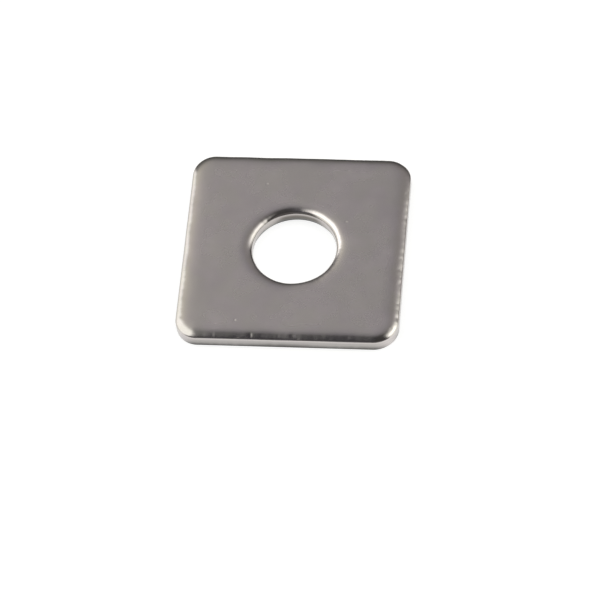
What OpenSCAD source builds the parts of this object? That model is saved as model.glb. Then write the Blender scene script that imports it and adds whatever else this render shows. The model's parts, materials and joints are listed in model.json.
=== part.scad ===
// Square plate washer: a rounded square of stainless sheet, blanked and pierced in one stroke.
// The cut walls have the three zones of a punched edge. From the upper face down they are a rounded
// die roll, a straight burnished band and a broken zone that leans away from the punch.
// The washer lies on its lower face, with the hole's axis on +Z and the sides along X and Y.

/* [Plate] */
// Side of the square, measured across the burnished walls
side = 29; // [18:0.5:60]
// Thickness of the sheet
thickness = 2.1; // [1.2:0.1:6]
// Radius of the four corners, seen from above
corner_r = 3.3; // [1.6:0.1:8]

/* [Bolt hole] */
// Diameter of the hole at its burnished wall
hole_d = 11; // [4:0.5:20]

/* [Outer edge] */
// Width of the die roll on the upper face
roll_w = 1.3; // [0.3:0.05:2.4]
// Depth of the die roll down the wall
roll_d = 0.36; // [0.1:0.02:0.8]
// Height of the broken zone at the foot of the wall
break_h = 0.65; // [0.15:0.05:0.9]
// Distance that the broken zone leans in at the foot
break_lean = 0.06; // [0.02:0.01:0.2]

/* [Hole edge] */
// Width of the die roll round the hole
hole_roll_w = 1.1; // [0.3:0.05:2]
// Depth of the die roll into the hole
hole_roll_d = 0.4; // [0.1:0.02:0.8]
// Height of the broken zone at the foot of the hole
hole_break_h = 0.65; // [0.15:0.05:0.9]
// Distance that the hole widens at its foot
hole_break_lean = 0.18; // [0.02:0.01:0.3]

/* [Deburring] */
// Leg of the chamfer that tumbling leaves on both lower arrises
arris = 0.08; // [0.02:0.01:0.14]

/* [Hidden] */
$fn = 96;
// Overlap that lets a cut run clear of the face it leaves
clear = 1;
hole_r = hole_d / 2;
// From the middle of the plate to the centre of a corner, along X or Y
corner_centre = side / 2 - corner_r;
steel = [0.62, 0.6, 0.58];

// Radius of an arc that starts along a face and drops by depth over width
function roll_radius(width, depth) = (width * width + depth * depth) / (2 * depth);

// What a die roll takes off a square arris. The arris is at the origin, the face runs along -X
// and the wall runs down -Y. The arc is tangent to the face and meets the wall at an edge.
module roll_cut(width, depth) {
    radius = roll_radius(width, depth);
    translate([-width, -radius])
        difference() {
            square([width + clear, radius + clear]);
            circle(radius);
        }
}

// Section of the plate's rim, from a corner's centre line out to the burnished wall
module rim_section() {
    difference() {
        polygon([
            [0, 0],
            [corner_r - break_lean - arris, 0],
            [corner_r - break_lean, arris],
            [corner_r, break_h],
            [corner_r, thickness],
            [0, thickness]
        ]);
        translate([corner_r, thickness])
            roll_cut(roll_w, roll_d);
    }
}

// The rim section carried along one side and round the corner at the end of it
module side_and_corner() {
    translate([corner_centre, corner_centre, 0]) {
        rotate([90, 0, 0])
            linear_extrude(2 * corner_centre)
                rim_section();
        rotate_extrude(angle = 90)
            rim_section();
    }
}

// The blank before piercing: a flat middle with four sides and corners set round it
module blank() {
    translate([-corner_centre, -corner_centre, 0])
        cube([2 * corner_centre, 2 * corner_centre, thickness]);
    for (turn = [0 : 90 : 270])
        rotate(turn)
            side_and_corner();
}

// The pierced hole as a solid of revolution: broken zone, burnished bore and die roll
module pierced_hole() {
    rotate_extrude() {
        polygon([
            [0, -clear],
            [hole_r + hole_break_lean + arris, -clear],
            [hole_r + hole_break_lean + arris, 0],
            [hole_r + hole_break_lean, arris],
            [hole_r, hole_break_h],
            [hole_r, thickness + clear],
            [0, thickness + clear]
        ]);
        translate([hole_r, thickness])
            mirror([1, 0])
                roll_cut(hole_roll_w, hole_roll_d);
    }
}

module washer() {
    color(steel)
        difference() {
            blank();
            pierced_hole();
        }
}

washer();
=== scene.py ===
"""A square plate washer, punched from stainless sheet and tumbled, on a pale studio floor.

The plate is one closed surface on a grid: one direction runs round the plate, the other goes round
its section, up the hole, across the upper face, down the outside and back along the lower face.
"""

import json
import math
from typing import NamedTuple

import bpy
import numpy as np
from bpy.props import FloatProperty, FloatVectorProperty, IntProperty, PointerProperty
from mathutils import Matrix, Vector


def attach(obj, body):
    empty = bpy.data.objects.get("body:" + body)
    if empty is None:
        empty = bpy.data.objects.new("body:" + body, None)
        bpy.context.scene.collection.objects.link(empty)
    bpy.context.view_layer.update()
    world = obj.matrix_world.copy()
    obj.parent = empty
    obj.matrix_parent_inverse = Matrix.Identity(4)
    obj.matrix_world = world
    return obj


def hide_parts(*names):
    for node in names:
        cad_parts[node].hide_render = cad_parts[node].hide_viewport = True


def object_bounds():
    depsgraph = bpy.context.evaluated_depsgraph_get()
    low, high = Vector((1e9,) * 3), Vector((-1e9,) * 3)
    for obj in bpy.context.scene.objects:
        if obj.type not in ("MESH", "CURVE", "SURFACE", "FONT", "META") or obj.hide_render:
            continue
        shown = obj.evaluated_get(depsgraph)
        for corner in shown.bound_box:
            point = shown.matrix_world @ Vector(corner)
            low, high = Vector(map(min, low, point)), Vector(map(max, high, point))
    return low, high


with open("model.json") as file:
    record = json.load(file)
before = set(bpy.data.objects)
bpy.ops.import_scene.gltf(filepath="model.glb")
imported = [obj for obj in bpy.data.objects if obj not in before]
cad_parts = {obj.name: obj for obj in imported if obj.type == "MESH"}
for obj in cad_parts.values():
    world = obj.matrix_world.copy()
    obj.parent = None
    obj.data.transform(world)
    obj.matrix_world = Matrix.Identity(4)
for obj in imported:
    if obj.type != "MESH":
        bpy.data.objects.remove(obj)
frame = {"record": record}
CAD_LOW, CAD_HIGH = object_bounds()

bl_info = {
    "name": "Square Plate Washer",
    "version": (1, 0, 0),
    "blender": (4, 5, 0),
    "location": "View3D > Sidebar > Washer",
    "description": "Builds a punched square washer with its steel finish and a studio stage",
    "category": "Object",
}

# Sizes that the frame gives, in metres
MM = 0.001
SIDE = CAD_HIGH.x - CAD_LOW.x
THICKNESS = CAD_HIGH.z - CAD_LOW.z
BOLT_HOLE = next(m for m in frame["record"]["mounts"] if m["name"] == "bolt_hole")
HOLE_RADIUS = BOLT_HOLE["dims"]["r_mm"] * MM

# The photograph's frame is square, and the foot of the hole's axis is at this pixel in it
PHOTO_SIZE_PX = 600
HOLE_FOOT_PX = (295.3, 255.5)

# The camera's sensor in millimetres, and its clipping distances in metres
SENSOR_WIDTH_MM = 36.0
CLIP_START = 0.01
CLIP_END = 50.0

# Places on the loop round the plate, in turns anticlockwise from the near end of the right side
RIGHT_SIDE_END = 0.198
FAR_RIGHT_CORNER = 0.232
NEAR_LEFT_CORNER = 0.727
NEAR_RIGHT_STREAK = 0.984
NEAR_RIGHT_CORNER = -0.023
MOST_WORN_PLACE = -0.02

# Rows of the grid in each stretch of the section, and the power that crowds the die roll's rows
ROLL_ROWS = 16
SOFT_ROWS = 9
WALL_ROWS = 3
BREAK_ROWS = 6
ARRIS_ROWS = 3
FACE_ROWS = 16
LOWER_ROWS = 3
ROW_CROWDING = 1.7

# Zones of a punched edge, each a weight on the mesh, and the numbers that shape those weights
ZONES = ("die_roll", "burnish", "broken")
ROLL_POLISH_RISE = 1.6
SOFT_ROLL_SHARE = 0.6
DARK_LIMIT = 1.2

# How the outer edge varies round the plate, as shares of its sizes
LEAST_WEAR = 0.25
ROLL_FADE_SWING = 0.06
ROLL_DEPTH_SWING = 0.05
ROLL_DEPTH_RIPPLE = 0.012
NEAR_LEFT_CORNER_FADE = 0.25
LEAST_FALL = 0.7
NEAR_LEFT_FALL = 1.1
CORNER_SHINE = 0.95
NEAR_LEFT_SHINE_LOSS = 0.15
# Reach up the wall of the dark foot, which is dull broken steel and painted contact shadow
BREAK_AND_SHADE_REACH = 1.1
NEAR_LEFT_BREAK_AND_SHADE = 0.25
FOOT_SWING = 0.12
FOOT_RIPPLE = 0.03

# How the hole's edge varies, as shares of its sizes
HOLE_ROLL_SWING = 0.06
HOLE_ROLL_RIPPLE = 0.012
HOLE_NICK_SHARE = 0.4
# Reach of the hole's dark foot, dull broken steel and painted shade, highest on the far wall
HOLE_BREAK_AND_SHADE_REACH = 1.25
FAR_HOLE_BREAK_AND_SHADE = 0.35

# Seeds of the two punched edges, each of which also uses the next three numbers
OUTER_SEED = 20
HOLE_SEED = 40

# Wear: depths in metres, nick lengths in turns of the loop, other nick sizes in millimetres
BREAK_GRAIN = 0.005 * MM
FACE_SWAY = 0.003 * MM
NICK_LENGTHS = (0.001, 0.0035)
NICK_INSETS_MM = (0.1, 0.7)
NICK_BREADTHS_MM = (0.12, 0.35)
NICK_DEPTH_SHARES = (0.2, 1.0)

# Sizes of the marks in the steel, in metres, and the depths of its bump, in millimetres
BLOTCH_SIZE = 4.0 * MM
MOTTLE_SIZE = 1.5 * MM
STAIN_SIZE = 3.0 * MM
DENT_SPACING = 2.2 * MM
STREAK_SIZE = 0.12 * MM
DENT_DEPTH_MM = 0.016
BURNISH_GRAIN_MM = 0.003
BROKEN_GRAIN_MM = 0.006

# Patterns of the marks: stretch, strengths, and the starts and ends of their soft edges
CLOUD_ROUGHNESS = 0.55
STREAK_STRETCH = (1.0, 1.0, 0.06)
MIDDLE_TONE = 0.52
BLOTCH_CONTRAST = 1.2
MOTTLE_CONTRAST = 0.5
BLOTCH_ROUGHNESS = 0.1
STAIN_STRENGTH = 0.5
STAIN_PATTERN = 3.0
STAIN_EDGE = (0.4, 0.62)
DENT_STRENGTH = 0.75
DENT_EDGE = (0.03, 0.12)
DENT_PICK = (0.6, 0.75)

# Reaches round the hole for its painted highlight and shade: distances from its wall in metres,
# places to the right in radii of it
HOLE_HIGHLIGHT_FADE = (0.5 * MM, 1.2 * MM)
HOLE_HIGHLIGHT_SIDE = (-0.6, 0.3)
BORE_FADE = (0.1 * MM, 0.3 * MM)
# Painted shade: between these ends the hole's bore is darkest, and it is lighter beyond them on either
# side
LEFT_BORE_END = (-0.72, -0.3)
RIGHT_BORE_START = (0.4, 0.75)

# Mirror colours of the steel, the first three as shares of the clean steel's colour
DARK_SHARE = 0.9
LIGHT_SHARE = 1.06
# Painted highlight: the die roll at the hole's right is lightened to brighten its highlight
HOLE_RIM_HIGHLIGHT_SHARE = 1.25
STAIN_COLOUR = (0.6, 0.575, 0.535, 1.0)
DENT_COLOUR = (0.76, 0.72, 0.71, 1.0)
# Painted shade: the burnished walls are darkened for the shaded floor close by that they mirror
BURNISH_AND_SHADE_COLOUR = (0.402, 0.383, 0.37, 1.0)
# Painted shade in the hole's bore: dark at its near and far walls and lighter at its left and right
DEEP_BORE_SHADE_COLOUR = (0.225, 0.206, 0.188, 1.0)
LIGHT_BORE_SHADE_COLOUR = (0.52, 0.49, 0.465, 1.0)
# Painted shade: the broken zone's colour is dull torn steel, darkened further for the contact shadow
# at the foot
BROKEN_AND_SHADE_COLOUR = (0.07, 0.068, 0.064, 1.0)

# Slant of the side panels' front edges, and the share of the back panel that each of them covers
PANEL_SLANT = 0.8
PANEL_COVER = 0.5

# Soft edges of the light panels, from dark to bright along their directions
WINDOW_INNER_EDGE = (0.125, 0.32)
WINDOW_BACK_EDGE = (-0.17, 0.02)
WINDOW_FRONT_EDGE = (-0.25, 0.3)
WALL_INNER_EDGE = (0.09, 0.58)
WALL_BACK_EDGE = (0.7, 0.28)
WALL_FRONT_EDGE = (0.19, 0.42)
HAZE_INNER_EDGE = (0.0, 0.4)
BACK_PANEL_EDGE = (0.18, 0.52)
FRONT_PANEL_EDGE = (0.35, 0.75)
RIGHT_ROOM_EDGE = (-0.085, 0.04)

# Colours of the light
SIDE_GLOW_COLOUR = (0.985, 0.996, 0.925, 1.0)
HAZE_COLOUR = (1.0, 0.955, 0.65, 1.0)
LOW_ROOM_COLOUR = (1.03, 1.03, 0.97, 1.0)
HIGH_ROOM_COLOUR = (1.035, 1.015, 1.145, 1.0)
RIGHT_ROOM_COLOUR = (1.0, 0.96, 0.94, 1.0)

# The floor, whose height is in metres
FLOOR_HEIGHT = -0.02 * MM
FLOOR_ROUGHNESS = 0.9
FLOOR_GLOW_COLOUR = (1.0, 1.0, 1.0, 1.0)


class RollPlace(NamedTuple):
    """A place on the loop, how narrow it is, and by what share the outer die roll differs there."""

    turn: float
    power: int
    fade: float
    depth: float


ROLL_PLACES = (
    RollPlace(turn=NEAR_LEFT_CORNER, power=4, fade=0.05, depth=0.0),
    RollPlace(turn=NEAR_RIGHT_CORNER, power=8, fade=0.06, depth=0.08),
    RollPlace(turn=NEAR_RIGHT_STREAK, power=300, fade=-0.42, depth=0.25),
    RollPlace(turn=FAR_RIGHT_CORNER, power=300, fade=-0.05, depth=0.4),
    RollPlace(turn=RIGHT_SIDE_END, power=300, fade=0.25, depth=-0.4),
)


class WasherShape(bpy.types.PropertyGroup):
    """Sizes of the plate and of its punched edges."""

    side: FloatProperty(
        name="Side", description="Side of the square, across the burnished walls",
        default=SIDE, min=0.01, unit="LENGTH")
    thickness: FloatProperty(
        name="Thickness", description="Thickness of the sheet",
        default=THICKNESS, min=0.001, unit="LENGTH")
    hole_radius: FloatProperty(
        name="Hole Radius", description="Radius of the hole at its burnished wall",
        default=HOLE_RADIUS, min=0.001, unit="LENGTH")
    corner_radii: FloatVectorProperty(
        name="Corner Radii",
        description="Radii of the corners: far right, far left, near left, near right",
        default=(3.1 * MM, 3.05 * MM, 2.95 * MM, 3.3 * MM), size=4, min=0.0, unit="LENGTH")
    roll_reach: FloatProperty(
        name="Die Roll Reach", description="How far the outer die roll reaches in over the upper face",
        default=2.4 * MM, min=0.0, unit="LENGTH")
    roll_fade: FloatProperty(
        name="Die Roll Fade",
        description="Distance in which the outer die roll flattens to about a third",
        default=0.55 * MM, min=0.0, unit="LENGTH")
    roll_depth: FloatProperty(
        name="Die Roll Depth", description="How far the outer die roll drops at the wall",
        default=0.32 * MM, min=0.0, unit="LENGTH")
    hole_roll_reach: FloatProperty(
        name="Hole Roll Reach", description="How far the hole's die roll reaches over the upper face",
        default=1.8 * MM, min=0.0, unit="LENGTH")
    hole_roll_fade: FloatProperty(
        name="Hole Roll Fade",
        description="Distance in which the hole's die roll flattens to about a third",
        default=0.45 * MM, min=0.0, unit="LENGTH")
    hole_roll_depth: FloatProperty(
        name="Hole Roll Depth", description="How far the hole's die roll drops at the wall",
        default=0.35 * MM, min=0.0, unit="LENGTH")
    face_fall: FloatProperty(
        name="Face Fall", description="How far the upper face sinks towards the outside",
        default=0.04 * MM, min=0.0, unit="LENGTH")
    face_fall_fade: FloatProperty(
        name="Face Fall Fade", description="Distance in which that sinking fades to about a third",
        default=1.4 * MM, min=0.0, unit="LENGTH")
    hole_fall: FloatProperty(
        name="Hole Fall", description="How far the upper face sinks towards the hole",
        default=0.04 * MM, min=0.0, unit="LENGTH")
    hole_fall_fade: FloatProperty(
        name="Hole Fall Fade", description="Distance in which that sinking fades to about a third",
        default=0.9 * MM, min=0.0, unit="LENGTH")
    soft_edge: FloatProperty(
        name="Burnish Edge", description="Reach of the soft edge between die roll and burnished wall",
        default=0.16 * MM, min=0.0, unit="LENGTH")
    hole_soft_edge: FloatProperty(
        name="Hole Burnish Edge",
        description="Reach of the soft edge between the hole's die roll and wall",
        default=0.28 * MM, min=0.0, unit="LENGTH")
    break_height: FloatProperty(
        name="Broken Zone", description="Height of the broken zone at the foot of the walls",
        default=0.65 * MM, min=0.0, unit="LENGTH")
    break_lean: FloatProperty(
        name="Broken Zone Lean", description="How far the outer broken zone leans back at its foot",
        default=0.06 * MM, min=0.0, unit="LENGTH")
    hole_break_lean: FloatProperty(
        name="Hole Broken Zone Lean", description="How far the hole widens at its foot",
        default=0.21 * MM, min=0.0, unit="LENGTH")
    arris: FloatProperty(
        name="Lower Arris", description="Rounding that tumbling leaves on the lower edges",
        default=0.08 * MM, min=0.0, unit="LENGTH")
    nick_depth: FloatProperty(
        name="Nick Depth", description="Depth of the deepest nicks in the outer die roll",
        default=0.022 * MM, min=0.0, unit="LENGTH")
    columns: IntProperty(
        name="Columns", description="Grid columns round the plate",
        default=960, min=64, max=1200)


class WasherSteel(bpy.types.PropertyGroup):
    """Finish of the stainless steel."""

    colour: FloatVectorProperty(
        name="Steel", description="Mirror colour of the clean steel",
        default=(0.625, 0.578, 0.581), min=0.0, max=1.0, subtype="COLOR")
    face_roughness: FloatProperty(
        name="Face Roughness", description="Roughness of the tumbled faces",
        default=0.27, min=0.0, max=1.0, subtype="FACTOR")
    roll_roughness: FloatProperty(
        name="Roll Roughness", description="Roughness of the die roll, which tumbling polishes",
        default=0.15, min=0.0, max=1.0, subtype="FACTOR")
    wall_roughness: FloatProperty(
        name="Burnished Roughness", description="Roughness of the burnished walls",
        default=0.2, min=0.0, max=1.0, subtype="FACTOR")
    break_roughness: FloatProperty(
        name="Broken Roughness", description="Roughness of the broken zone",
        default=0.48, min=0.0, max=1.0, subtype="FACTOR")


class WasherStage(bpy.types.PropertyGroup):
    """Floor, light and camera."""

    floor_size: FloatProperty(
        name="Floor Size", description="Side of the square floor", default=8.0, min=1.0, unit="LENGTH")
    floor_colour: FloatVectorProperty(
        name="Floor", description="Colour of the pale floor",
        default=(0.4, 0.4, 0.4), min=0.0, max=1.0, subtype="COLOR")
    floor_glow: FloatProperty(
        name="Floor Glow", description="Light that comes up through the floor", default=0.84, min=0.0)
    left_light: FloatProperty(
        name="Left Light", description="Brightness of the soft wall of light on the left",
        default=1.44, min=0.0)
    haze_light: FloatProperty(
        name="Haze", description="Glow that spreads from the left light towards the back",
        default=0.4, min=0.0)
    right_light: FloatProperty(
        name="Right Light", description="Brightness of the soft wall of light on the right",
        default=1.92, min=0.0)
    back_light: FloatProperty(
        name="Back Light", description="Brightness of the dim panel behind, which the face mirrors",
        default=0.288, min=0.0)
    front_light: FloatProperty(
        name="Front Light", description="Brightness of the fill below the camera",
        default=0.12, min=0.0)
    top_light: FloatProperty(
        name="Top Light", description="Brightness of the dim room straight above",
        default=0.01, min=0.0)
    fill_light: FloatProperty(
        name="Fill Light", description="Brightness of the rest of the room", default=0.042, min=0.0)
    azimuth: FloatProperty(
        name="Azimuth", description="Camera's turn to the right of the front side",
        default=math.radians(11.07), subtype="ANGLE")
    elevation: FloatProperty(
        name="Elevation", description="Camera's height above the floor as an angle",
        default=math.radians(55.53), subtype="ANGLE")
    roll: FloatProperty(
        name="Roll", description="Camera's turn about its own line of sight",
        default=math.radians(-7.59), subtype="ANGLE")
    distance: FloatProperty(
        name="Distance", description="Camera's distance from the foot of the hole's axis",
        default=0.5104, min=0.05, unit="LENGTH")
    focal_px: FloatProperty(
        name="Focal Length", description="Focal length in pixels of the photograph's frame",
        default=3900.0, min=100.0)


class Flow:
    """A shader socket that Python operators work on. Each operator adds one Math node."""

    def __init__(self, shade, socket):
        self.shade = shade
        self.socket = socket

    def _math(self, operation, first, second):
        return self.shade.node("ShaderNodeMath", {"operation": operation}, {0: first, 1: second})

    def __add__(self, other):
        return self._math("ADD", self, other)

    def __radd__(self, other):
        return self._math("ADD", other, self)

    def __sub__(self, other):
        return self._math("SUBTRACT", self, other)

    def __rsub__(self, other):
        return self._math("SUBTRACT", other, self)

    def __mul__(self, other):
        return self._math("MULTIPLY", self, other)

    def __rmul__(self, other):
        return self._math("MULTIPLY", other, self)

    def __neg__(self):
        return self._math("MULTIPLY", self, -1.0)


class Shade:
    """Adds nodes to one node tree."""

    def __init__(self, tree):
        self.tree = tree
        tree.nodes.clear()

    def node(self, kind, settings=None, sockets=None, output=0):
        """Adds a node of that type, sets its settings, then fills its sockets with values or links."""
        made = self.tree.nodes.new(kind)
        for name, value in (settings or {}).items():
            setattr(made, name, value)
        for key, value in (sockets or {}).items():
            if isinstance(value, Flow):
                self.tree.links.new(value.socket, made.inputs[key])
            else:
                made.inputs[key].default_value = value
        return Flow(self, made.outputs[output]) if made.outputs else None

    def ramp(self, value, start, end):
        """Zero at start and one at end, with an S-shaped rise between."""
        return self.node(
            "ShaderNodeMapRange", {"interpolation_type": "SMOOTHSTEP"},
            {"Value": value, "From Min": start, "From Max": end, "To Min": 0.0, "To Max": 1.0})

    def mix(self, factor, first, second):
        """Colour between first and second, which are sockets 6 and 7 of the node, on its output 2."""
        return self.node(
            "ShaderNodeMix", {"data_type": "RGBA"}, {"Factor": factor, 6: first, 7: second}, output=2)


def loop_noise(turn, fewest, most, seed, waves=28):
    """Smooth noise round a closed loop, about -2 to 2.

    A sum of cosines of random phase, each with a whole number of waves round the loop between fewest
    and most. turn goes from 0 to 1 round the loop.
    """
    rng = np.random.default_rng(seed)
    count = rng.integers(fewest, most + 1, waves)
    phase = rng.uniform(0, 2 * np.pi, waves)
    total = np.cos(2 * np.pi * turn[..., None] * count + phase).sum(axis=-1)
    return total * np.sqrt(2 / waves)


def field_noise(turn, across, fewest, most, slant, seed, waves=36):
    """Smooth noise on a grid that closes in one direction, about -2 to 2.

    A sum of cosines of random phase, each with a whole number of waves round the loop between fewest
    and most, and with up to slant waves either way across the grid.
    """
    rng = np.random.default_rng(seed)
    count = rng.integers(fewest, most + 1, waves)
    count_across = rng.uniform(-slant, slant, waves)
    phase = rng.uniform(0, 2 * np.pi, waves)
    angle = 2 * np.pi * (turn[..., None] * count + across[..., None] * count_across) + phase
    return np.cos(angle).sum(axis=-1) * np.sqrt(2 / waves)


def rounded_square(side, radii, columns):
    """Points of a rounded square, at even steps of length in each quarter, with outward directions.

    Each quarter is a straight run up the right-hand side and a quarter arc of its own radius, turned
    a quarter turn further for each next quarter. Returns points, outward directions, the turn from
    0 to 1, and a weight that is one at the middle of a corner and zero on the runs.
    """
    turn = np.arange(columns) / columns
    quarter, part = np.divmod(turn * 4, 1)
    radius = radii[quarter.astype(int)]
    start = np.roll(radii, 1)[quarter.astype(int)] - side / 2
    run = side / 2 - radius - start
    length = part * (run + np.pi / 2 * radius)
    on_run = np.minimum(length, run)
    bend = np.maximum(length - run, 0) / radius
    x = side / 2 - radius + radius * np.cos(bend)
    y = start + on_run + radius * np.sin(bend)
    quarter_cos = np.cos(quarter * np.pi / 2)
    quarter_sin = np.sin(quarter * np.pi / 2)
    points = np.stack([x * quarter_cos - y * quarter_sin, x * quarter_sin + y * quarter_cos], axis=1)
    angle = bend + quarter * np.pi / 2
    outward = np.stack([np.cos(angle), np.sin(angle)], axis=1)
    corner = np.sin(2 * bend) ** 2
    return points, outward, turn, corner


def share_near(turn, place, power):
    """One at a place on the loop and nothing half a loop away, as an even power of a cosine.

    The higher the power, the narrower the share: at 300 little is left a corner's length away.
    """
    return np.cos(np.pi * (turn - place)) ** power


def wear_share(turn):
    """How worn the edge is round the plate: most at the near right corner, least at the far left."""
    return LEAST_WEAR + (1 - LEAST_WEAR) * share_near(turn, MOST_WORN_PLACE, 2)


def near_left_share(turn):
    """One at the near left corner, falling to nothing at the far right one."""
    return share_near(turn, NEAR_LEFT_CORNER, 4)


def edge_nicks(turn, inset, deepest, seed, count=170):
    """Depth of small nicks scattered over the steep part of a die roll, as columns by rows.

    Each nick is a bell curve along the edge times a bell curve across it, so all of them together
    are one product of two arrays. Most are shallow, because an even draw is cubed for the depth, and
    those on the worn sides are deeper.
    """
    rng = np.random.default_rng(seed)
    place = rng.uniform(0, 1, count)
    length = rng.uniform(*NICK_LENGTHS, count)
    across = rng.uniform(*NICK_INSETS_MM, count) * MM
    breadth = rng.uniform(*NICK_BREADTHS_MM, count) * MM
    depth = rng.uniform(*NICK_DEPTH_SHARES, count) ** 3 * deepest * wear_share(place) ** 2
    apart = (turn[:, None] - place + 0.5) % 1 - 0.5
    along = np.exp(-(apart / length) ** 2)
    over = np.exp(-((inset[None, :] - across[:, None]) / breadth[:, None]) ** 2)
    return along @ (depth[:, None] * over)


def punched_edge(shape, turn, reach, fade, depth, fall, fall_fade, soft, lean, nick, shine, break_and_shade_reach,
                 seed):
    """Sections of a punched edge from the face down to the floor, one for each column.

    Returns the distance back from the burnished wall, the height, and the weights of the zones, all
    as columns by rows.

    The die roll fades out exponentially with the distance from the wall, and so does the shallow
    fall of the face. A Bezier arc softens the burnish line, the wall goes straight down, the broken
    zone leans back with a rough surface, and a second Bezier arc is the lower arris.

    Tumbling has polished the wall where shine is above zero. The broken zone's dark weight depends
    on the height as a share of the given reach times the zone's height: it is one where that share is
    at most a fifth, and nothing where it is above the dark limit. Its dark colour is partly the dull
    torn steel and partly painted shade, a contact shadow darkening the foot of the wall.
    """
    fade = fade[:, None]
    depth = depth[:, None]
    round_turn = turn[:, None]
    top = shape.thickness
    end_drop = np.exp(-reach / fade)
    # Added to one row of the section, this repeats it for every column
    every_column = np.zeros_like(depth)

    def drop_at(inset):
        """Drop of the die roll and of the face at that distance from the wall."""
        roll_drop = depth * (np.exp(-inset / fade) - end_drop) / (1 - end_drop)
        return roll_drop + fall * np.exp(-inset / fall_fade)

    way = np.linspace(0, 1, ROLL_ROWS + 1)[None, :-1]
    inset = soft + (reach - soft) * (1 - way) ** ROW_CROWDING
    roll_back = inset + every_column
    roll_height = top - drop_at(inset) - edge_nicks(turn, inset[0], nick, seed)

    bend = np.linspace(0, 1, SOFT_ROWS)[None, :]
    wall_top = top - drop_at(0)
    soft_back = (1 - bend) ** 2 * soft + every_column
    soft_height = ((1 - bend) ** 2 * (top - drop_at(soft)) + 2 * bend * (1 - bend) * wall_top
                   + bend ** 2 * (wall_top - soft))

    foot = shape.break_height * (
        1 + FOOT_SWING * loop_noise(round_turn, fewest=2, most=10, seed=seed + 1)
        + FOOT_RIPPLE * loop_noise(round_turn, fewest=40, most=120, seed=seed + 2))
    drop = np.linspace(0, 1, WALL_ROWS + 1)[None, 1:]
    wall_back = np.zeros_like(drop) + every_column
    wall_height = (wall_top - soft) * (1 - drop) + foot * drop

    torn = np.linspace(0, 1, BREAK_ROWS + 1)[None, 1:]
    rough = field_noise(round_turn, torn, fewest=90, most=300, slant=3, seed=seed + 3)
    break_back = lean * torn + BREAK_GRAIN * (rough * np.sin(np.pi * torn))
    break_height = foot * (1 - torn) + shape.arris * torn

    curl = np.linspace(0, 1, ARRIS_ROWS + 1)[None, 1:]
    arris_back = lean + shape.arris * curl ** 2 + every_column
    arris_height = shape.arris * (1 - curl) ** 2 + every_column

    back = np.hstack([roll_back, soft_back, wall_back, break_back, arris_back])
    height = np.hstack([roll_height, soft_height, wall_height, break_height, arris_height])
    rows = [ROLL_ROWS, SOFT_ROWS, WALL_ROWS + BREAK_ROWS + ARRIS_ROWS]
    roll = np.repeat([1.0, SOFT_ROLL_SHARE, 0.0], rows)
    roll[:ROLL_ROWS] = np.minimum(way[0] * ROLL_POLISH_RISE, 1)
    burnish = np.repeat([0.0, 1 - SOFT_ROLL_SHARE, 1.0], rows)
    # Painted shade: this dark weight also darkens the foot of the wall for the contact shadow by the
    # floor
    dark_height = break_and_shade_reach[:, None] * shape.break_height
    broken = np.clip(DARK_LIMIT - height.mean(axis=0) / dark_height, 0, 1)
    dull = 1 - shine[:, None]
    return back, height, np.stack([roll + every_column, burnish * dull, broken * dull], axis=2)


def inset_in_square(points, side, radius):
    """Distance of points inside a rounded square from its outline."""
    beyond = np.abs(points) - (side / 2 - radius)
    outside = np.hypot(np.maximum(beyond[..., 0], 0), np.maximum(beyond[..., 1], 0))
    return radius - outside - np.minimum(beyond.max(axis=-1), 0)


def outer_edge(shape, turn, corner, fall):
    """The punched edge of the outside, whose die roll differs at the named places on the loop."""
    near_left = near_left_share(turn)
    fade = 1 + ROLL_FADE_SWING * loop_noise(turn, fewest=5, most=24, seed=11)
    fade = fade + NEAR_LEFT_CORNER_FADE * corner * near_left
    depth = 1 + ROLL_DEPTH_SWING * loop_noise(turn, fewest=4, most=24, seed=12)
    ripple = loop_noise(turn, fewest=40, most=110, seed=13)
    depth = depth + ROLL_DEPTH_RIPPLE * wear_share(turn) * ripple
    for place in ROLL_PLACES:
        share = share_near(turn, place.turn, place.power)
        fade = fade + place.fade * share
        depth = depth + place.depth * share
    return punched_edge(
        shape, turn, reach=shape.roll_reach, fade=shape.roll_fade * fade,
        depth=shape.roll_depth * depth, fall=fall, fall_fade=shape.face_fall_fade,
        soft=shape.soft_edge, lean=shape.break_lean, nick=shape.nick_depth,
        shine=(CORNER_SHINE - NEAR_LEFT_SHINE_LOSS * near_left) * corner,
        break_and_shade_reach=BREAK_AND_SHADE_REACH + NEAR_LEFT_BREAK_AND_SHADE * near_left, seed=OUTER_SEED)


def hole_edge(shape, turn, radial):
    """The hole's punched edge; its dark foot, partly painted shade, is highest on the far side."""
    fade = 1 + HOLE_ROLL_SWING * loop_noise(turn, fewest=3, most=12, seed=31)
    depth = (1 + HOLE_ROLL_SWING * loop_noise(turn, fewest=2, most=10, seed=32)
             + HOLE_ROLL_RIPPLE * loop_noise(turn, fewest=18, most=50, seed=33))
    far = np.maximum(radial[:, 1], 0) ** 4
    return punched_edge(
        shape, turn, reach=shape.hole_roll_reach, fade=shape.hole_roll_fade * fade,
        depth=shape.hole_roll_depth * depth, fall=shape.hole_fall, fall_fade=shape.hole_fall_fade,
        soft=shape.hole_soft_edge, lean=shape.hole_break_lean,
        nick=HOLE_NICK_SHARE * shape.nick_depth, shine=np.zeros_like(turn),
        break_and_shade_reach=HOLE_BREAK_AND_SHADE_REACH + FAR_HOLE_BREAK_AND_SHADE * far, seed=HOLE_SEED)


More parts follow.
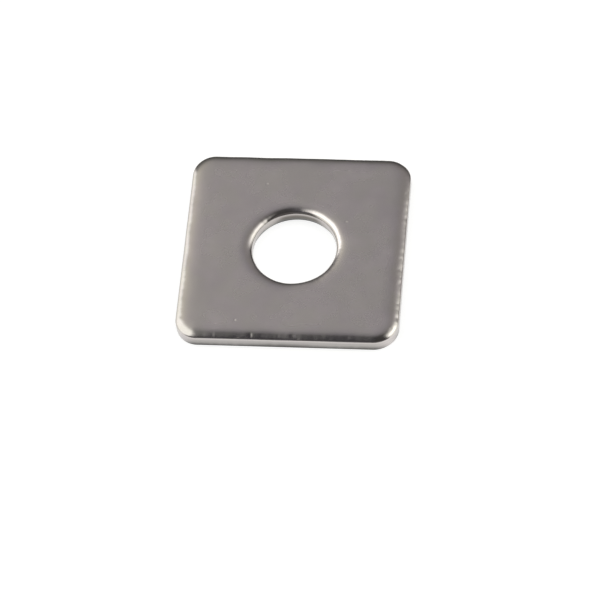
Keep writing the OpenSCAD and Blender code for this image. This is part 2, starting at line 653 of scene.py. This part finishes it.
def plate_surface(shape):
    """Grid of the whole plate, columns by rows by x, y and z, with its zone weights.

    The rows go up the hole's section, straight across the upper face from the hole's die roll to
    the outer one, down the outer section and back across the lower face. The upper face sinks
    exponentially towards both of its edges, most at the near left corner, and sways a little.
    """
    radii = np.array(shape.corner_radii)
    outline, outward, turn, corner = rounded_square(shape.side, radii, shape.columns)
    near_left = near_left_share(turn)[:, None]
    fall = shape.face_fall * (LEAST_FALL + NEAR_LEFT_FALL * near_left ** 2)
    out_back, out_height, out_zone = outer_edge(shape, turn, corner, fall)
    outer = np.concatenate([outline[:, None] - outward[:, None] * out_back[..., None],
                            out_height[..., None]], axis=2)

    bearing = np.arctan2(outline[:, 1], outline[:, 0])
    radial = np.stack([np.cos(bearing), np.sin(bearing)], axis=1)
    in_back, in_height, in_zone = hole_edge(shape, turn, radial)
    inner = np.concatenate([radial[:, None] * (shape.hole_radius + in_back[..., None]),
                            in_height[..., None]], axis=2)[:, ::-1]

    across = np.linspace(0, 1, FACE_ROWS + 2)[1:-1]
    share = across[None, :, None]
    upper = inner[:, -1:] * (1 - share) + outer[:, :1] * share
    from_side = inset_in_square(upper[..., :2], shape.side, radii.mean())
    from_hole = np.hypot(upper[..., 0], upper[..., 1]) - shape.hole_radius
    sway = field_noise(turn[:, None], across[None, :], fewest=3, most=14, slant=1.2, seed=51)
    upper[..., 2] = (shape.thickness - fall * np.exp(-from_side / shape.face_fall_fade)
                     - shape.hole_fall * np.exp(-from_hole / shape.hole_fall_fade)
                     + FACE_SWAY * (sway * np.sin(np.pi * across)))
    home = np.linspace(0, 1, LOWER_ROWS + 2)[1:-1][None, :, None]
    lower = outer[:, -1:] * (1 - home) + inner[:, :1] * home

    grid = np.concatenate([inner, upper, outer, lower], axis=1)
    zone = np.concatenate([in_zone[:, ::-1], np.zeros_like(upper), out_zone, np.zeros_like(lower)],
                          axis=1)
    return grid, zone


def closed_mesh(name, grid, zone):
    """Mesh of a grid that closes in both directions, smooth shaded, with its zones as attributes."""
    columns, rows = grid.shape[:2]
    column = np.arange(columns)[:, None]
    row = np.arange(rows)[None, :]
    next_column = (column + 1) % columns
    next_row = (row + 1) % rows
    corners = np.stack([column * rows + row, column * rows + next_row,
                        next_column * rows + next_row, next_column * rows + row], axis=-1)
    mesh = bpy.data.meshes.new(name)
    mesh.vertices.add(columns * rows)
    mesh.vertices.foreach_set("co", grid.astype(np.float32).ravel())
    mesh.loops.add(corners.size)
    mesh.loops.foreach_set("vertex_index", corners.astype(np.int32).ravel())
    mesh.polygons.add(columns * rows)
    mesh.polygons.foreach_set("loop_start", np.arange(0, corners.size, 4, dtype=np.int32))
    mesh.polygons.foreach_set("use_smooth", np.ones(columns * rows, dtype=bool))
    mesh.update(calc_edges=True)
    for index, label in enumerate(ZONES):
        attribute = mesh.attributes.new(label, "FLOAT", "POINT")
        attribute.data.foreach_set("value", zone[..., index].astype(np.float32).ravel())
    if mesh.validate():
        raise RuntimeError(f"the grid of {name} doesn't make a sound mesh")
    return mesh


def tumbled_steel(finish):
    """Stainless steel after punching and tumbling: satin faces, polished rolls, torn lower walls."""
    # Painted shade darkens the burnished walls, their broken foot and the hole's bore; a painted
    # highlight lightens the hole's right rim
    material = bpy.data.materials.new("tumbled_stainless")
    material.use_nodes = True
    shade = Shade(material.node_tree)
    place = shade.node("ShaderNodeTexCoord", output="Object")
    roll, burnish, broken = [
        shade.node("ShaderNodeAttribute", {"attribute_name": label}, output="Fac") for label in ZONES]

    def stretched(factors):
        """Object coordinates, each times its factor."""
        return shade.node("ShaderNodeVectorMath", {"operation": "MULTIPLY"}, {0: place, 1: factors})

    def cloud(size, detail, at=place):
        """Noise with features of about that size."""
        return shade.node("ShaderNodeTexNoise", {"noise_dimensions": "3D"},
                          {"Vector": at, "Scale": 1 / size, "Detail": detail,
                           "Roughness": CLOUD_ROUGHNESS})

    def clean_steel(share):
        """The clean steel's colour, darker or lighter by that share."""
        return (*(min(share * c, 1.0) for c in finish.colour), 1.0)

    blotch = cloud(BLOTCH_SIZE, detail=3.0)
    mottle = cloud(MOTTLE_SIZE, detail=2.0)
    streak = cloud(STREAK_SIZE, detail=2.0, at=stretched(STREAK_STRETCH))
    stain = shade.node("ShaderNodeTexNoise", {"noise_dimensions": "4D"},
                       {"Vector": place, "W": STAIN_PATTERN, "Scale": 1 / STAIN_SIZE, "Detail": 2.0})
    cells = shade.node("ShaderNodeTexVoronoi", {"feature": "F1"},
                       {"Vector": place, "Scale": 1 / DENT_SPACING, "Randomness": 1.0})
    cell_colour = Flow(shade, cells.socket.node.outputs["Color"])
    pick = shade.node("ShaderNodeSeparateColor", None, {0: cell_colour})
    dent = (1 - shade.ramp(cells, *DENT_EDGE)) * shade.ramp(pick, *DENT_PICK)

    from_axis = shade.node("ShaderNodeVectorMath", {"operation": "LENGTH"},
                           {0: stretched((1.0, 1.0, 0.0))}, output="Value")
    to_right = shade.node("ShaderNodeSeparateXYZ", None, {0: place})

    def near_hole(start, end):
        """One up to start from the hole's wall and nothing beyond end."""
        return 1 - shade.ramp(from_axis, HOLE_RADIUS + start, HOLE_RADIUS + end)

    def right_of(start, end):
        """Nothing left of start and one right of end, both in radii of the hole from its axis."""
        return shade.ramp(to_right, start * HOLE_RADIUS, end * HOLE_RADIUS)

    tone = MIDDLE_TONE + (blotch - 0.5) * BLOTCH_CONTRAST + (mottle - 0.5) * MOTTLE_CONTRAST
    base = shade.mix(tone, clean_steel(DARK_SHARE), clean_steel(LIGHT_SHARE))
    base = shade.mix(shade.ramp(stain, *STAIN_EDGE) * STAIN_STRENGTH, base, STAIN_COLOUR)
    base = shade.mix(dent * DENT_STRENGTH, base, DENT_COLOUR)
    # Painted highlight: the hole's die roll is lighter on its right, brightening the highlight there
    hole_rim_highlight = roll * near_hole(*HOLE_HIGHLIGHT_FADE) * right_of(*HOLE_HIGHLIGHT_SIDE)
    base = shade.mix(hole_rim_highlight, base, clean_steel(HOLE_RIM_HIGHLIGHT_SHARE))
    # Painted shade: the burnished walls take a darker colour for the shaded floor that they mirror
    base = shade.mix(burnish, base, BURNISH_AND_SHADE_COLOUR)
    # Painted shade: the hole's bore is darkened, less at its left and right sides
    bore = burnish * near_hole(*BORE_FADE)
    lightly_shaded_side = 1 - right_of(*LEFT_BORE_END) + right_of(*RIGHT_BORE_START)
    base = shade.mix(bore * (1 - lightly_shaded_side), base, DEEP_BORE_SHADE_COLOUR)
    base = shade.mix(bore * lightly_shaded_side, base, LIGHT_BORE_SHADE_COLOUR)
    # Painted shade: the dark broken colour stands for dull torn steel and for the contact shadow at
    # the foot
    base = shade.mix(broken, base, BROKEN_AND_SHADE_COLOUR)

    rough = finish.face_roughness + (blotch - 0.5) * BLOTCH_ROUGHNESS
    rough = rough + roll * (finish.roll_roughness - finish.face_roughness)
    rough = rough + burnish * (finish.wall_roughness - finish.face_roughness)
    rough = rough + broken * (finish.break_roughness - finish.face_roughness)

    grain = burnish * BURNISH_GRAIN_MM + broken * BROKEN_GRAIN_MM
    relief = dent * -DENT_DEPTH_MM + (streak - 0.5) * grain
    bump = shade.node("ShaderNodeBump", None, {"Strength": 1.0, "Distance": MM, "Height": relief})
    steel = shade.node("ShaderNodeBsdfPrincipled", None,
                       {"Base Color": base, "Metallic": 1.0, "Roughness": rough, "Normal": bump})
    shade.node("ShaderNodeOutputMaterial", None, {"Surface": steel})
    return material


def studio_light(world, stage):
    """Light from all round, by direction.

    A window on the left and a wall on the right are bright, and the panels behind, in front and
    above are dim. In a direction, x is to the right, y to the back and z up.
    """
    world.use_nodes = True
    shade = Shade(world.node_tree)
    towards = shade.node("ShaderNodeTexCoord", output="Generated")
    split = shade.node("ShaderNodeSeparateXYZ", None, {0: towards})
    x, y, z = [Flow(shade, socket) for socket in split.socket.node.outputs]
    height = shade.node("ShaderNodeMath", {"operation": "ARCSINE"}, {0: z})

    def above(start, end):
        """Nothing below start and one above end, both heights in degrees."""
        return shade.ramp(height, math.radians(start), math.radians(end))

    def brighter_up(least, start, end):
        """That least share below start and one above end, both heights in degrees."""
        return least + (1 - least) * above(start, end)

    window = (shade.ramp(-x, *WINDOW_INNER_EDGE) * shade.ramp(-x - y, *WINDOW_BACK_EDGE)
              * shade.ramp(y - x * PANEL_SLANT, *WINDOW_FRONT_EDGE))
    wall = (shade.ramp(x, *WALL_INNER_EDGE) * shade.ramp(y, *WALL_BACK_EDGE)
            * shade.ramp(y + x * PANEL_SLANT, *WALL_FRONT_EDGE))
    left = window * brighter_up(least=0.68, start=16, end=46) * stage.left_light
    right = wall * brighter_up(least=0.6, start=10, end=40) * stage.right_light

    behind = shade.ramp(y, *BACK_PANEL_EDGE)
    haze = shade.ramp(-x, *HAZE_INNER_EDGE) * behind * above(30, 50) * (1 - window) * stage.haze_light
    uncovered = 1 - PANEL_COVER * wall - PANEL_COVER * window
    back = brighter_up(least=0.06, start=4, end=57) * behind * uncovered * stage.back_light
    front = shade.ramp(-y, *FRONT_PANEL_EDGE) * (1 - above(46, 66)) * stage.front_light
    ceiling = above(58, 72) * stage.top_light

    room_colour = shade.mix(above(24, 52), LOW_ROOM_COLOUR, HIGH_ROOM_COLOUR)
    room_colour = shade.mix(shade.ramp(x, *RIGHT_ROOM_EDGE), room_colour, RIGHT_ROOM_COLOUR)
    room = back + (front + ceiling) + stage.fill_light

    def background(colour, strength):
        """Light of that colour and strength."""
        return shade.node("ShaderNodeBackground", None, {"Color": colour, "Strength": strength})

    glow = background(SIDE_GLOW_COLOUR, left + right)
    for light in (background(room_colour, room), background(HAZE_COLOUR, haze)):
        glow = shade.node("ShaderNodeAddShader", None, {0: glow, 1: light})
    shade.node("ShaderNodeOutputWorld", None, {"Surface": glow})


def pale_floor(stage):
    """A plain pale floor, just under the washer, that also glows a little."""
    half = stage.floor_size / 2
    square = ((-half, -half), (half, -half), (half, half), (-half, half))
    corners = [(x, y, FLOOR_HEIGHT) for x, y in square]
    mesh = bpy.data.meshes.new("floor")
    mesh.from_pydata(corners, [], [(0, 1, 2, 3)])
    material = bpy.data.materials.new("pale_floor")
    material.use_nodes = True
    shade = Shade(material.node_tree)
    surface = shade.node("ShaderNodeBsdfPrincipled", None, {
        "Base Color": (*stage.floor_colour, 1.0),
        "Roughness": FLOOR_ROUGHNESS, "Specular IOR Level": 0.0,
        "Emission Color": FLOOR_GLOW_COLOUR, "Emission Strength": stage.floor_glow})
    shade.node("ShaderNodeOutputMaterial", None, {"Surface": surface})
    mesh.materials.append(material)
    return bpy.data.objects.new("floor", mesh)


def aimed_camera(stage):
    """A long lens at the photograph's angle, aimed so that the hole's foot lands on its pixel."""
    azimuth = stage.azimuth
    elevation = stage.elevation
    back = Vector((math.sin(azimuth) * math.cos(elevation),
                   -math.cos(azimuth) * math.cos(elevation), math.sin(elevation)))
    level = Vector((math.cos(azimuth), math.sin(azimuth), 0.0))
    upright = back.cross(level)
    right = level * math.cos(stage.roll) + upright * math.sin(stage.roll)
    up = back.cross(right)
    per_px = stage.distance / stage.focal_px
    middle = PHOTO_SIZE_PX / 2
    eye = (back * stage.distance + right * (middle - HOLE_FOOT_PX[0]) * per_px
           + up * (HOLE_FOOT_PX[1] - middle) * per_px)
    data = bpy.data.cameras.new("camera")
    data.sensor_width = SENSOR_WIDTH_MM
    data.lens = stage.focal_px * SENSOR_WIDTH_MM / PHOTO_SIZE_PX
    data.clip_start = CLIP_START
    data.clip_end = CLIP_END
    camera = bpy.data.objects.new("camera", data)
    turn = Matrix((right, up, back)).transposed().to_4x4()
    camera.matrix_world = Matrix.Translation(eye) @ turn
    return camera


class WASHER_OT_plate(bpy.types.Operator):
    """Build the punched plate in tumbled stainless steel."""

    bl_idname = "washer.make_plate"
    bl_label = "Make Plate"

    def execute(self, context):
        grid, zone = plate_surface(context.scene.washer_shape)
        mesh = closed_mesh("washer_plate", grid, zone)
        mesh.materials.append(tumbled_steel(context.scene.washer_steel))
        plate = bpy.data.objects.new("washer_plate", mesh)
        context.scene.collection.objects.link(plate)
        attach(plate, "root")
        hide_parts("washer")
        return {"FINISHED"}


class WASHER_OT_stage(bpy.types.Operator):
    """Lay the floor, light the studio and set up the camera."""

    bl_idname = "washer.make_stage"
    bl_label = "Make Stage"

    def execute(self, context):
        scene = context.scene
        stage = scene.washer_stage
        floor = pale_floor(stage)
        scene.collection.objects.link(floor)
        scene.world = bpy.data.worlds.new("studio")
        studio_light(scene.world, stage)
        camera = aimed_camera(stage)
        scene.collection.objects.link(camera)
        scene.camera = camera
        scene.view_settings.view_transform = "Standard"
        return {"FINISHED"}


class WASHER_PT_sidebar(bpy.types.Panel):
    """Lists the washer's settings and its build steps."""

    bl_idname = "WASHER_PT_sidebar"
    bl_label = "Square Plate Washer"
    bl_space_type = "VIEW_3D"
    bl_region_type = "UI"
    bl_category = "Washer"

    def draw(self, context):
        layout = self.layout
        scene = context.scene
        for group in (scene.washer_shape, scene.washer_steel, scene.washer_stage):
            box = layout.box()
            for name in group.__annotations__:
                box.prop(group, name)
        layout.operator(WASHER_OT_plate.bl_idname)
        layout.operator(WASHER_OT_stage.bl_idname)


CLASSES = (WasherShape, WasherSteel, WasherStage, WASHER_OT_plate, WASHER_OT_stage, WASHER_PT_sidebar)


def register():
    for cls in CLASSES:
        bpy.utils.register_class(cls)
    bpy.types.Scene.washer_shape = PointerProperty(type=WasherShape)
    bpy.types.Scene.washer_steel = PointerProperty(type=WasherSteel)
    bpy.types.Scene.washer_stage = PointerProperty(type=WasherStage)


def unregister():
    del bpy.types.Scene.washer_stage
    del bpy.types.Scene.washer_steel
    del bpy.types.Scene.washer_shape
    for cls in reversed(CLASSES):
        bpy.utils.unregister_class(cls)


def main():
    register()
    bpy.ops.washer.make_plate()
    bpy.ops.washer.make_stage()


if __name__ == "__main__":
    main()
